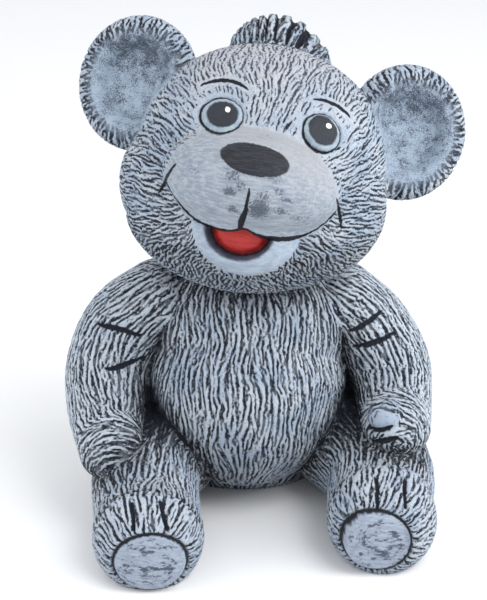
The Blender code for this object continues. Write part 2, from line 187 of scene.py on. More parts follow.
ARM_CREASES = (
    ((-124, -10, 161), (-110, -18, 161), (-90, -20, 155)),
    ((-118, -26, 129), (-103, -26, 131), (-87, -17, 134)),
    ((79, -19, 156), (92, -19, 163), (106, -13, 172)),
    ((82, -19, 141), (99, -23, 147), (117, -17, 154)),
    ((90, -68, 94), (98.5, -78, 98), (107, -83.5, 102)),
    ((94, -70, 84), (102, -78.5, 88.5), (111, -82, 93)),
)
FEET = (
    {
        "sole": (-85, -153, 27),
        "radii": (27.5, 24.3),
        "cuff": ((-121, -120, 47), (-86, -123, 71), (-46, -124, 43)),
        "clefts": (
            ((-98.5, -134, 67.5), (-98.2, -142, 63), (-98, -149, 55)),
            ((-77, -134, 68), (-74.5, -142, 63), (-71.5, -149, 55)),
        ),
    },
    {
        "sole": (90, -139, 33),
        "radii": (26, 25.5),
        "cuff": ((62, -98, 52), (102, -98, 77), (137, -101, 54)),
        "clefts": (
            ((91, -114, 74), (90, -126, 69), (89, -136, 61)),
            ((113, -115, 72), (112.5, -125, 68), (112, -134, 61)),
        ),
    },
)
SOLE_DOME = 3.0
TOE_RISE = 4.0
# Strength of the painted shadow behind each toe cuff
TOE_SHADE = 1.5

EYE_RISE = 1.4
EYE_GROOVE = 1.7
BROW_DEPTH = 1.5
SMILE_DEPTH = 1.6
NOSE_RISE = 1.6
LIP_DEPTH = 2.6
PARTING_DEPTH = 2.2
MOUTH_DEPTH = 13.0
TONGUE_RISE = 6.5
SOLE_GROOVE = 3.0
CREASE_DEPTH = 3.4
CLEFT_DEPTH = 3.8
CLEFT_WIDTH = 1.6
SEAM_DEPTH = 3.0
SEAM_WIDTH = 2.4
STAINED_DEPTH = 2.6
LOCK_GAP_DEPTH = 3.4
FURROW_DEPTH = 1.4

HEAD_FINENESS = 1.55
BODY_FINENESS = 1.25
FURROW_GRAIN = 2.7
FURROW_TAPS = 13
FURROW_GAIN = 17.0
FURROW_GAP = 1.3
FURROW_TURN = (0.6, 0.4, 0.9)

# Screen values from 0 to 255
PAINTS = {
    "ridge": (153, 167, 184),
    "pale ridge": (175, 184, 195),
    # Ridge colour for painted light on upward faces
    "warm ridge": (180, 182, 188),
    # Ridge colour of the arms: heavier pale paint, and painted light
    "arm ridge": (190, 199, 209),
    # Ridge colour for painted shade in corners
    "ridge in corner shade": (136, 141, 146),
    "shaded ridge": (112, 121, 130),
    "wash": (22, 27, 38),
    # Wash colour for painted light on upward faces
    "lit wash": (66, 72, 84),
    # Wash colour for painted shade on downward faces
    "shaded wash": (10, 12, 19),
    "dish": (156, 171, 188),
    "dish wash": (46, 54, 67),
    "muzzle": (128, 139, 153),
    "pale muzzle": (163, 170, 178),
    # Muzzle colour for painted light on its upper right
    "lit muzzle top": (166, 167, 171),
    "muzzle speck": (92, 102, 116),
    "smudge": (54, 62, 76),
    "chin": (138, 152, 168),
    "pale chin": (166, 179, 192),
    "mouth": (38, 42, 56),
    "pale mouth": (92, 96, 112),
    "tongue": (150, 36, 36),
    "pale tongue": (176, 50, 46),
    "tongue edge": (26, 28, 38),
    "black": (20, 23, 31),
    "nose": (20, 22, 29),
    "pale nose": (50, 52, 62),
    "eye ring": (122, 136, 150),
    "pale eye ring": (178, 192, 203),
    "pupil": (22, 25, 32),
    "pale pupil": (54, 58, 66),
    "pupil edge": (96, 106, 120),
    "glint": (245, 247, 242),
    "sole": (136, 147, 164),
    "pale sole": (158, 168, 182),
    "worn sole": (46, 54, 68),
}

# Name, place, watts and width
LAMPS = (
    ("key", (0.9, -1.0, 1.8), 22.0, 1.2),
    ("left fill", (-1.6, -0.5, 0.8), 12.0, 1.4),
    ("right fill", (1.7, -0.5, 0.9), 18.0, 1.4),
)
LAMPS_AIM = (0, 0, 0.2)
CAMERA_PLACE = (-0.1063, -1.1446, 0.6984)
CAMERA_BACK = (-0.07962, -0.91007, 0.40674)
CAMERA_SWING = 5.0
CAMERA_ROLL = 1.5
CAMERA_LENS = 63.29
CAMERA_SHIFT = -0.01917


def head_matrix():
    """Carries the head's own frame to the figure's."""
    tilt = Matrix.Rotation(math.radians(HEAD_TILT), 4, "Y")
    lift = Matrix.Rotation(math.radians(-HEAD_LIFT), 4, "X")
    turn = Matrix.Rotation(math.radians(HEAD_TURN), 4, "Z")
    return Matrix.Translation(Vector(HEAD_CENTRE)) @ turn @ lift @ tilt


def ear_matrix(side):
    """Carries an ear's own frame, whose dish looks along -Y, to the figure's."""
    place = Matrix.Translation(Vector((side * EAR_REACH, EAR_SETBACK, EAR_RISE)))
    return head_matrix() @ place @ Matrix.Rotation(math.radians(side * EAR_SPLAY), 4, "Z")


def to_frame(points, matrix):
    """Points of the figure in the frame that the matrix carries to it."""
    matrix = np.array(matrix)
    return (points - matrix[:3, 3]) @ matrix[:3, :3]


def limb_balls(limb):
    """The limb's balls as rows of x, y, z and radius, evenly along a smooth line through its own."""
    own = np.array([(*centre, radius) for centre, radius in limb], float)
    rows = [2 * own[0] - own[1], *own, 2 * own[-1] - own[-2]]
    steps = round(BALLS_PER_LIMB / (len(own) - 1))
    balls = []
    for before, start, end, after in zip(rows, rows[1:], rows[2:], rows[3:]):
        for t in np.arange(steps) / steps:
            along = (end - before) * t
            bend = (2 * before - 5 * start + 4 * end - after) * t**2
            twist = (3 * start - before - 3 * end + after) * t**3
            balls.append(start + (along + bend + twist) / 2)
    return np.array([*balls, own[-1]])


# Clay: the forms, fused into one skin


def deselect():
    """Leaves nothing selected."""
    bpy.ops.object.select_all(action="DESELECT")


def add_ball(centre, sizes, place=Matrix.Identity(4)):
    """A ball at its sizes and place in the frame that the matrix carries to the figure's."""
    bpy.ops.mesh.primitive_ico_sphere_add(
        subdivisions=5 if max(sizes) > 50 else 4,
        radius=1.0,
        location=place @ Vector(centre),
        rotation=place.to_euler(),
        scale=sizes,
    )
    return bpy.context.object


def ear_section():
    """The ear's half section as reach and depth: its dish, round its rim, to the middle of its back."""
    dish_edge = EAR_RADIUS - 2 * EAR_RIM
    floor = EAR_DISH_DEPTH - EAR_RIM
    dish = [(dish_edge * t, floor * math.cos(t * math.pi / 2)) for t in np.linspace(0, 1, 6)]
    rim = []
    for angle in np.radians(np.linspace(170, -60, 12)):
        rim.append((EAR_RADIUS - EAR_RIM + EAR_RIM * math.cos(angle), -EAR_RIM * math.sin(angle)))
    back = [((EAR_RADIUS - EAR_RIM) * t, EAR_BACK - EAR_RIM / 2 * t**2) for t in (0.75, 0.5, 0.25, 0)]
    return dish + rim + back


def add_ear(side):
    """An ear: its half section spun about the middle of its dish."""
    bpy.ops.mesh.primitive_plane_add(size=1.0)
    ear = bpy.context.object
    spots = [(reach, depth, 0) for reach, depth in ear_section()]
    ear.data.clear_geometry()
    ear.data.from_pydata(spots, [(i, i + 1) for i in range(len(spots) - 1)], [])
    bpy.ops.object.mode_set(mode="EDIT")
    bpy.ops.mesh.select_all(action="SELECT")
    bpy.ops.mesh.spin(steps=64, angle=2 * math.pi, center=(0, 0, 0), axis=(0, 1, 0))
    bpy.ops.mesh.select_all(action="SELECT")
    bpy.ops.mesh.remove_doubles(threshold=1e-3)
    bpy.ops.mesh.normals_make_consistent(inside=False)
    bpy.ops.transform.resize(value=(1.0, 1.0, EAR_TALL))
    bpy.ops.object.mode_set(mode="OBJECT")
    ear.data.transform(ear_matrix(side))
    return ear


def add_and_apply(piece, name, kind, **settings):
    """Adds a modifier with its settings and applies it."""
    bpy.context.view_layer.objects.active = piece
    modifier = piece.modifiers.new(name, kind)
    for setting, value in settings.items():
        setattr(modifier, setting, value)
    bpy.ops.object.modifier_apply(modifier=name)


def model_clay():
    """Every form of the bear, joined and fused into one skin with softened joins."""
    deselect()
    shapes = [add_ear(side) for side in (-1, 1)]
    shapes += [add_ball(centre, sizes, head_matrix()) for centre, sizes in HEAD_FORMS.values()]
    shapes.append(add_ball(FORELOCK_CENTRE, FORELOCK_SIZES, head_matrix()))
    shapes.append(add_ball(*FORELOCK_SIDE, head_matrix()))
    shapes += [add_ball(centre, sizes) for centre, sizes in BODY_FORMS.values()]
    for limb in LIMBS.values():
        shapes += [add_ball((x, y, z), (radius,) * 3) for x, y, z, radius in limb_balls(limb)]
    shapes.append(add_ball(*THUMB))
    for shape in shapes:
        shape.select_set(True)
    bpy.context.view_layer.objects.active = shapes[0]
    bpy.ops.object.join()
    clay = bpy.context.object
    clay.name = clay.data.name = "cast_bear"
    add_and_apply(clay, "skin", "REMESH", mode="VOXEL", voxel_size=CLAY_VOXEL)
    add_and_apply(clay, "soften", "SMOOTH", iterations=CLAY_SETTLING)
    return clay


# Carving


def read_vectors(items, name):
    """The items' vectors as rows."""
    values = np.empty(len(items) * 3, np.float32)
    items.foreach_get(name, values)
    return values.reshape(-1, 3).astype(float)


def ramp(low, high, value):
    """0 at low, 1 at high, eased between them."""
    t = np.clip((value - low) / (high - low), 0, 1)
    return t * t * (3 - 2 * t)


def bump(distance, width):
    """1 at no distance, fading out over the width."""
    return np.exp(-((distance / width) ** 2))


def oval(x, z, centre, radii, turn=0.0):
    """Distance from a turned oval's middle, 1 on its outline."""
    x, z = x - centre[0], z - centre[1]
    across = x * math.cos(turn) + z * math.sin(turn)
    up = z * math.cos(turn) - x * math.sin(turn)
    return np.hypot(across / radii[0], up / radii[1])


def unit(vectors):
    return vectors / np.maximum(np.linalg.norm(vectors, axis=-1, keepdims=True), 1e-9)


def on_stroke(t, start, middle, end):
    """The point at each share of a bent stroke through its three."""
    start, middle, end = (np.array(p, float) for p in (start, middle, end))
    t = np.asarray(t)[..., None]
    return (1 - t) * (1 - 2 * t) * start + 4 * t * (1 - t) * middle + t * (2 * t - 1) * end


def stroke_distance(points, start, middle, end, on_skin=False):
    """Distance of the points from a bent stroke, with how far along they lie.

    A stroke on the skin is first laid down on the nearest of the points.
    """
    start, middle, end = (np.array(p, float) for p in (start, middle, end))
    reach = np.linalg.norm(end - start)
    close = np.linalg.norm(points - middle, axis=1) < reach
    nearest = np.full(len(points), 1e3)
    share = np.zeros(len(points))
    some = points[close]
    best = np.full(len(some), 1e3)
    at = np.zeros(len(some))
    for t in np.linspace(0, 1, 41):
        gap = np.linalg.norm(some - on_stroke(t, start, middle, end), axis=1)
        if on_skin:
            gap = np.linalg.norm(some - some[np.argmin(gap)], axis=1)
        at = np.where(gap < best, t, at)
        best = np.minimum(best, gap)
    nearest[close] = best
    share[close] = at
    return nearest, share


def off_ellipsoid(points, centre, sizes):
    """About how far the points lie outside an ellipsoid."""
    scaled = (points - np.array(centre, float)) / sizes
    level = np.linalg.norm(scaled, axis=1)
    slope = np.maximum(np.linalg.norm(scaled / sizes, axis=1), 1e-9)
    return level * (level - 1) / slope


def lip_line(x):
    """Height of the line between the muzzle and the jaw, in the head's frame."""
    u = x - LIP_MIDDLE
    rise = LIP_RISE * np.minimum(np.abs(u) / LIP_HALF_WIDTH, 1.2) ** 4
    return LIP_LEVEL + LIP_NOTCH * bump(u, LIP_NOTCH_WIDTH) + rise


def lattice_noise(points, spacing, seed):
    """Smooth noise from -1 to 1 on a cubic lattice of the spacing."""
    size = 64
    grid = np.random.RandomState(seed).uniform(-1, 1, (size, size, size)).ravel()
    scaled = points / spacing + 1000
    cell = np.floor(scaled).astype(np.int64)
    part = scaled - cell
    part = part * part * (3 - 2 * part)
    value = np.zeros(len(points))
    for corner in np.ndindex(2, 2, 2):
        weight = np.prod(np.where(corner, part, 1 - part), axis=1)
        a, b, c = ((cell + corner) % size).T
        value += weight * grid[(a * size + b) * size + c]
    return value


class Regions:
    """Which form each point belongs to, and where it lies in the frames of the head and ears."""

    def __init__(self, points):
        self.points = points
        self.head = to_frame(points, head_matrix())
        self.ears = [to_frame(points, ear_matrix(side)) for side in (-1, 1)]
        self.off = {
            "head": np.min([off_ellipsoid(self.head, *form) for form in HEAD_FORMS.values()], axis=0),
            "torso": np.min([off_ellipsoid(points, *form) for form in BODY_FORMS.values()], axis=0),
            "forelock": np.minimum(
                off_ellipsoid(self.head, FORELOCK_CENTRE, FORELOCK_SIZES),
                off_ellipsoid(self.head, *FORELOCK_SIDE),
            ),
        }
        for name, ear in zip(("left ear", "right ear"), self.ears):
            reach = np.hypot(ear[:, 0], ear[:, 2] / EAR_TALL) - (EAR_RADIUS - EAR_RIM)
            self.off[name] = np.hypot(np.maximum(reach, 0), ear[:, 1]) - EAR_RIM
        self.along = {}
        self.share = {}
        for name, limb in LIMBS.items():
            balls = limb_balls(limb)
            gaps = np.array([np.linalg.norm(points - b[:3], axis=1) - b[3] for b in balls])
            nearest = gaps.min(axis=0)
            weight = np.exp(-np.minimum((gaps - nearest) / 3.0, 30))
            weight /= weight.sum(axis=0)
            self.off[name] = nearest
            self.along[name] = weight.T @ np.gradient(balls[:, :3], axis=0)
            self.share[name] = weight.T @ np.linspace(0, 1, len(balls))
        self.off["thumb"] = off_ellipsoid(points, *THUMB)
        self.near = {name: np.exp(-np.maximum(off + 4, 0) / 2.0) for name, off in self.off.items()}


def fur(regions, normals):
    """How the fur lies at each point, as long as half a stroke, and how full of furrows it is."""
    points = regions.points
    x, y, z = regions.head.T
    head_spin = np.array(head_matrix())[:3, :3]
    lie = {}
    reach = {}
    full = {}

    from_face = regions.head - np.array((-3.0, -110.0, -22.0))
    lie["head"] = unit(from_face + (0, 0, -1.7) * np.maximum(y[:, None], 0)) @ head_spin.T
    under = ramp(-40, -62, z)
    reach["head"] = 4.2 - 2.0 * under
    full["head"] = 0.55 * under - 0.4 * ramp(-15, 40, z) * ramp(10, -30, y)
    for eye in EYES:
        full["head"] -= 0.45 * ramp(2.8, 1.3, oval(x, z, eye["middle"], eye["radii"])) * ramp(0, -30, y)
    lie["forelock"] = unit(regions.head - (FORELOCK_CENTRE[0], 22, FORELOCK_ROOT)) @ head_spin.T
    reach["forelock"] = 9.0
    full["forelock"] = 0.3
    lie["torso"] = np.tile((0.0, -0.15, -1.0), (len(points), 1))
    belly = np.minimum(regions.near["torso"], 1)
    low = belly * ramp(98, 62, points[:, 2])
    reach["torso"] = 6.8 - 1.2 * low
    full["torso"] = 0.05
    for side, ear, name in zip((-1, 1), regions.ears, ("left ear", "right ear")):
        ring = oval(ear[:, 0], ear[:, 2], (0, 0), (EAR_RADIUS, EAR_RADIUS * EAR_TALL))
        behind = ramp(4, 14, ear[:, 1])[:, None]
        from_root = ear * (1, 0, 1) + behind * (side * 46, 0, 20)
        lie[name] = unit(from_root) @ np.array(ear_matrix(side))[:3, :3].T
        reach[name] = 3.2
        dish_edge = 1.2 * bump(ring - 0.77, 0.1) * ramp(2, -4, ear[:, 1])
        full[name] = -0.1 - 0.3 * ramp(20, 45, ear[:, 2]) + dish_edge
    for name in LIMBS:
        lie[name] = unit(regions.along[name])
        reach[name] = 7.0
        full[name] = 0.1
        if "arm" in name:
            wrap = ramp(0.86, 0.98, regions.share[name])[:, None]
            across = np.cross(normals, lie[name])
            lie[name] = unit((1 - wrap) * lie[name] + wrap * across)
    lie["thumb"] = lie["right arm"]
    reach["thumb"] = 7.0
    full["thumb"] = 0.1
    for foot, name in zip(FEET, ("left leg", "right leg")):
        from_sole = points - np.array(foot["sole"], float)
        distance = np.linalg.norm(from_sole, axis=1, keepdims=True)
        near = ramp(80, 45, distance)
        lie[name] = near * from_sole / distance - (1 - near) * lie[name]
        reach[name] = 7.0 - 2.5 * near[:, 0]
        full[name] = 0.1 - 0.3 * near[:, 0]

    total = np.zeros_like(points)
    length = np.zeros(len(points))
    filled = np.zeros(len(points))
    weight = np.zeros(len(points))
    for name in lie:
        near = regions.near[name]
        total += near[:, None] * lie[name]
        length += near * reach[name]
        filled += near * full[name]
        weight += near
    length /= weight
    filled /= weight
    sway = 16 - 6 * belly + 26 * low + 30 * under * regions.near["head"]
    swirl = np.radians(sway) * lattice_noise(points, 22.0, 3)
    on_ear = np.minimum(regions.near["left ear"] + regions.near["right ear"], 1)
    swirl += np.radians(18 + 25 * on_ear) * lattice_noise(points, 9.0, 4)
    total = unit(total - normals * (total * normals).sum(axis=1, keepdims=True))
    total = total * np.cos(swirl)[:, None] + np.cross(normals, total) * np.sin(swirl)[:, None]
    return total * length[:, None], filled


def bare(regions):
    """1 where the surface is left smooth: muzzle, chin, eyes, ear dishes and soles."""
    x, y, z = regions.head.T
    front = ramp(-25, -45, y) * ramp(12, 6, regions.off["head"])
    muzzle = ramp(1.04, 0.98, oval(x, z, MUZZLE_MIDDLE, MUZZLE_RADII)) * ramp(-3, 0, z - lip_line(x))
    chin = ramp(1.12, 0.96, oval(x, z, CHIN_MIDDLE, CHIN_RADII)) * ramp(2, -1, z - lip_line(x))
    smooth = np.maximum(muzzle, chin)
    for eye in EYES:
        middle = (eye["middle"][0] - 1, eye["middle"][1] + 1.5)
        smooth = np.maximum(smooth, ramp(1.38, 1.1, oval(x, z, middle, eye["radii"])))
    flat = np.column_stack((x, z))
    for brow in BROWS:
        smooth = np.maximum(smooth, 0.75 * ramp(5, 2, stroke_distance(flat, *brow)[0]))
    smooth *= front
    for ear in regions.ears:
        dish = ramp(0.76, 0.66, oval(ear[:, 0], ear[:, 2], (0, 0), (EAR_RADIUS, EAR_RADIUS * EAR_TALL)))
        smooth = np.maximum(smooth, dish * ramp(10, 6, ear[:, 1]) * ramp(30, 20, np.abs(ear[:, 1])))
    across, along, height = regions.points.T
    for foot in FEET:
        sole_x, sole_y, sole_z = foot["sole"]
        disc = ramp(1.1, 1.0, oval(across, height, (sole_x, sole_z), foot["radii"]))
        smooth = np.maximum(smooth, disc * ramp(sole_y + 25, sole_y + 15, along))
    thumb = regions.points - np.array((101, -84, 104), float)
    return np.maximum(smooth, 0.8 * ramp(15, 8, np.linalg.norm(thumb, axis=1)))


def carve_face(regions):
    """How far the face is carved in along the head's own Y axis."""
    x, y, z = regions.head.T
    flat = np.column_stack((x, z))
    front = ramp(-25, -45, y) * ramp(14, 8, regions.off["head"])
    push = np.zeros(len(x))
    for eye in EYES:
        ring = oval(x, z, eye["middle"], eye["radii"], eye["turn"])
        push -= EYE_RISE * ramp(1.02, 0.9, ring)
        push += EYE_GROOVE * bump((ring - 1.06) * eye["radii"][0], 1.1)
    for brow in BROWS:
        push += BROW_DEPTH * bump(stroke_distance(flat, *brow)[0], 1.3)
    for crease in SMILE_CREASES:
        push += SMILE_DEPTH * bump(stroke_distance(flat, *crease)[0], 1.4)
    push -= NOSE_RISE * ramp(1.04, 0.9, oval(x, z, NOSE_CENTRE, NOSE_RADII))
    above_lip = z - lip_line(x)
    in_lip = ramp(LIP_HALF_WIDTH + 3, LIP_HALF_WIDTH - 2, np.abs(x - LIP_MIDDLE))
    push += LIP_DEPTH * bump(above_lip, 1.5) * in_lip
    parting = bump(x - NOSE_CENTRE[0], 1.3) * ramp(LIP_PARTING_TOP, LIP_PARTING_TOP - 12, z)
    push += PARTING_DEPTH * parting * ramp(-2, 0, above_lip)
    below_lip = ramp(0.5, -2.0, above_lip)
    push += MOUTH_DEPTH * ramp(1.0, 0.85, oval(x, z, MOUTH_CENTRE, MOUTH_RADII)) * below_lip
    push -= TONGUE_RISE * ramp(1.0, 0.75, oval(x, z, TONGUE_CENTRE, TONGUE_RADII)) * below_lip
    return push * front


def carve_sole(points, foot):
    """How far the front of a foot is carved in along Y, for its sole and the ring round it."""
    sole_x, sole_y, sole_z = foot["sole"]
    x, y, z = points.T
    ring = oval(x, z, (sole_x, sole_z), foot["radii"])
    ahead = ramp(sole_y + 28, sole_y + 18, y)
    dome = sole_y - SOLE_DOME * (1 - ring**2)
    level = (dome - y) * ramp(1.02, 0.94, ring)
    return (level + SOLE_GROOVE * bump((ring - 1.04) * foot["radii"][0], 1.7)) * ahead


def toe_caps(points):
    """How far the toes stand out in front of their cuffs, and the painted shadow behind the cuffs."""
    rise = np.zeros(len(points))
    cuff_shade = np.zeros(len(points))
    for foot in FEET:
        sole = np.array(foot["sole"], float)
        gap, share = stroke_distance(points, *foot["cuff"], on_skin=True)
        cuff_reach = np.linalg.norm(on_stroke(share, *foot["cuff"]) - sole, axis=1)
        ahead = cuff_reach > np.linalg.norm(points - sole, axis=1)
        middle = ramp(0.0, 0.2, share) * ramp(1.0, 0.8, share)
        rise = np.maximum(rise, TOE_RISE * ramp(0, 3, gap) * ramp(26, 6, gap) * ahead * middle)
        # Painted shadow in a patchy band behind each cuff's step
        patchy = 0.6 + 0.5 * lattice_noise(points, 5.0, 8)
        cuff_shade = np.maximum(cuff_shade, TOE_SHADE * bump(gap - 2.5, 2.6) * ~ahead * patchy)
    return rise, cuff_shade


def cuts(regions):
    """Depth of the creases, clefts, cuffs and the seams where forms meet, and how stained they are."""
    points = regions.points
    depth = np.zeros(len(points))
    for crease in ARM_CREASES:
        gap, share = stroke_distance(points, *crease, on_skin=True)
        width = 1.2 + 1.2 * np.sin(np.pi * np.clip(share, 0.06, 0.94))
        depth = np.maximum(depth, CREASE_DEPTH * bump(gap, width))
    for foot in FEET:
        gap = stroke_distance(points, *foot["cuff"], on_skin=True)[0]
        depth = np.maximum(depth, CREASE_DEPTH * bump(gap, CLEFT_WIDTH))
        for cleft in foot["clefts"]:
            gap = stroke_distance(points, *cleft, on_skin=True)[0]
            depth = np.maximum(depth, CLEFT_DEPTH * bump(gap, CLEFT_WIDTH))
    in_front = ramp(55, 30, np.abs(points[:, 0])) * ramp(30, 0, points[:, 1])
    below_armpit = ramp(168, 152, points[:, 2])
    stain = depth / STAINED_DEPTH
    worn = 0.5 + 0.4 * lattice_noise(points, 8.0, 7)
    meetings = (
        ("torso", "head", 0.35 + 0.65 * in_front),
        ("torso", "left arm", below_armpit),
        ("torso", "right arm", below_armpit),
        ("torso", "left leg", 1.0),
        ("torso", "right leg", 1.0),
        ("left arm", "left leg", 1.0),
        ("right arm", "right leg", 1.0),
        ("left ear", "head", 0.5),
        ("right ear", "head", 0.5),
        ("forelock", "head", 0.4),
    )
    for one, other, share in meetings:
        both_near = ramp(12, 6, np.maximum(regions.off[one], regions.off[other]))
        seam = bump(regions.off[one] - regions.off[other], SEAM_WIDTH) * both_near * share
        depth = np.maximum(depth, SEAM_DEPTH * seam)
        stain = np.maximum(stain, worn * seam)
    return depth, np.clip(stain, 0, 1)


def painted_shade(regions):
    """How much painted shade darkens the corners where one form comes close to another."""
    points = regions.points
    forms = np.sort([regions.off[name] for name in ("head", "torso", *LIMBS)], axis=0)
    # Painted shade: darker where a second form is near, more where a third is near too, less on the shoulders'
    # outer sides
    corner = ramp(25, -2, forms[1])
    deep = ramp(30, 8, forms[2]) * ramp(128, 108, points[:, 2])
    shoulder = ramp(150, 172, points[:, 2]) * ramp(215, 200, points[:, 2])
    return corner * (1 - 0.85 * shoulder * ramp(45, 70, np.abs(points[:, 0]))) + deep


def put_floats(mesh, name, values):
    """Keeps a number at each point for the paint."""
    mesh.attributes.new(name, "FLOAT", "POINT").data.foreach_set("value", values.astype(np.float32))


def put_vectors(mesh, name, values):
    """Keeps a vector at each point for the paint."""
    attribute = mesh.attributes.new(name, "FLOAT_VECTOR", "POINT")
    attribute.data.foreach_set("vector", values.astype(np.float32).ravel())


def chain(tree, kind, settings=(), **inputs):
    """Adds a node; each input is a value or the socket of another node."""
    node = tree.nodes.new(kind)
    for name, value in dict(settings).items():
        setattr(node, name, value)
    for name, value in inputs.items():
        key = int(name[1:]) if name[0] == "_" else name.replace("_", " ")
        if isinstance(value, bpy.types.NodeSocket):
            tree.links.new(value, node.inputs[key])
        else:
            node.inputs[key].default_value = value
    return node


def maths(tree, operation, *values, clamp=False):
    """The result of a sum on numbers."""
    inputs = {f"_{i}": value for i, value in enumerate(values)}
    settings = {"operation": operation, "use_clamp": clamp}
    return chain(tree, "ShaderNodeMath", settings, **inputs).outputs[0]


def vectors(tree, operation, *values):
    """The result of a sum on vectors."""
    inputs = {f"_{i}": value for i, value in enumerate(values)}
    return chain(tree, "ShaderNodeVectorMath", {"operation": operation}, **inputs).outputs[0]


def scaled(tree, vector, by):
    return chain(tree, "ShaderNodeVectorMath", {"operation": "SCALE"}, _0=vector, Scale=by).outputs[0]


def furrows(tree, rest, lay, across):
    """Depth of the fur's furrows, about -2 to 2.

    Noise is drawn out along the way the fur lies, and its value to one side is taken from its
    value to the other, which leaves only furrows of about one width.
    """
    turn = {"rotation_type": "EULER_XYZ"}
    rest, lay, across = (
        chain(tree, "ShaderNodeVectorRotate", turn, Vector=v, Rotation=FURROW_TURN).outputs[0]
        for v in (rest, lay, across)
    )
    total = None
    for sign in (1.0, -1.0):
        side = vectors(tree, "ADD", rest, scaled(tree, across, sign * FURROW_GAP))
        for t in np.linspace(-1, 1, FURROW_TAPS):
            spot = vectors(tree, "ADD", side, scaled(tree, lay, float(t)))
            value = chain(tree, "ShaderNodeTexNoise", Vector=spot, Scale=1 / FURROW_GRAIN, Detail=0.0).outputs[0]
            share = sign * FURROW_GAIN / FURROW_TAPS
            total = maths(tree, "MULTIPLY_ADD", value, share, 0.0 if total is None else total)
    return total


def comb(piece):
    """Keeps the furrows' height at each point of the piece."""
    tree = bpy.data.node_groups.new("comb", "GeometryNodeTree")
    tree.interface.new_socket("Geometry", in_out="INPUT", socket_type="NodeSocketGeometry")
    tree.interface.new_socket("Geometry", in_out="OUTPUT", socket_type="NodeSocketGeometry")
    start = tree.nodes.new("NodeGroupInput")
    end = tree.nodes.new("NodeGroupOutput")
    read = {}
    for name in ("drawn", "lay", "across"):
        node = chain(tree, "GeometryNodeInputNamedAttribute", {"data_type": "FLOAT_VECTOR"}, Name=name)
        read[name] = node.outputs[0]
    height = furrows(tree, read["drawn"], read["lay"], read["across"])
    at_points = {"data_type": "FLOAT", "domain": "POINT"}
    keep = chain(tree, "GeometryNodeStoreNamedAttribute", at_points, Name="furrow")
    tree.links.new(start.outputs[0], keep.inputs["Geometry"])
    tree.links.new(height, keep.inputs["Value"])
    tree.links.new(keep.outputs["Geometry"], end.inputs[0])
    add_and_apply(piece, "comb", "NODES", node_group=tree)
    values = np.empty(len(piece.data.vertices), np.float32)
    piece.data.attributes["furrow"].data.foreach_get("value", values)
    return values


def carve(piece):
    """Carves the clay and keeps what its paint needs to know."""
    mesh = piece.data
    points = read_vectors(mesh.vertices, "co")
    normals = read_vectors(mesh.vertex_normals, "vector")
    regions = Regions(points)
    lay, full = fur(regions, normals)
    smooth = bare(regions)
    full = full - 25.0 * smooth**4
    on_head = np.argmin(list(regions.off.values()), axis=0) == list(regions.off).index("head")
    fineness = np.where(on_head, HEAD_FINENESS, BODY_FINENESS)[:, None]
    put_vectors(mesh, "rest", points)
    put_vectors(mesh, "drawn", points * fineness)
    put_vectors(mesh, "lay", lay * fineness)
    put_vectors(mesh, "across", np.cross(normals, unit(lay)))
    put_floats(mesh, "full", full)
    height = comb(piece)
    mesh = piece.data
    furrow = ramp(-0.1, 1.1, height + full)

    inward = np.array(head_matrix())[:3, 1]
    moved = points + carve_face(regions)[:, None] * inward
    for foot in FEET:
        moved[:, 1] += carve_sole(points, foot)
    cut, stain = cuts(regions)
    put_floats(mesh, "cut", stain)
    root = regions.head - (FORELOCK_CENTRE[0], 0, FORELOCK_ROOT)
    fan = np.degrees(np.arctan2(root[:, 0], root[:, 2])) + 1.5 * lattice_noise(points, 9.0, 5)
    in_lock = ramp(3, 0, regions.off["forelock"]) * ramp(-1, 4, regions.off["head"])
    in_lock *= ramp(36, 26, regions.head[:, 1])
    in_lock *= 0.25 + 0.75 * ramp(-36, -14, fan) * ramp(44, 30, fan)
    ridges = np.max([bump(fan - angle, width) for angle, width in FORELOCK_LOCKS], axis=0)
    lock = ramp(0.75, 0.25, ridges) * in_lock
    put_floats(mesh, "lock", lock)
    uneven = LOCK_GAP_DEPTH + 1.4 * lattice_noise(points, 7.0, 6)
    deep = (FURROW_DEPTH - 0.3 * on_head) * furrow * (1 - 0.4 * in_lock) + uneven * lock
    # How far each point faces up, for the painted light on upward faces and painted shade on downward ones
    put_floats(mesh, "sky", normals[:, 2] * (0.5 + 0.5 * on_head))
    rise, cuff_shade = toe_caps(points)
    # Painted shade in the corners and behind the toe cuffs
    put_floats(mesh, "painted_shade", np.maximum(painted_shade(regions), cuff_shade))
    # The arms painted paler: heavier pale paint, and painted light from the sides
    arms = np.minimum(regions.off["left arm"], regions.off["right arm"])
    put_floats(mesh, "paler", ramp(4, -2, arms))
    dish = np.zeros(len(points))
    shadow = np.zeros(len(points))
    for ear in regions.ears:
        ring = oval(ear[:, 0], ear[:, 2], (0, 0), (EAR_RADIUS, EAR_RADIUS * EAR_TALL))
        here = ramp(0.86, 0.66, ring) * ramp(10, 6, ear[:, 1]) * ramp(30, 20, np.abs(ear[:, 1]))
        dish = np.maximum(dish, here)
        # Painted shade towards the top of each dish, under its rim
        shadow = np.maximum(shadow, here * ramp(-5, 34, ear[:, 2]))
    put_floats(mesh, "dish", dish)
    put_floats(mesh, "dish_shadow", shadow)
    moved = moved - normals * (np.maximum(deep, cut) - rise)[:, None]
    moved[:, 2] = np.maximum(moved[:, 2], 0)
    mesh.vertices.foreach_set("co", moved.astype(np.float32).ravel())
    mesh.update()


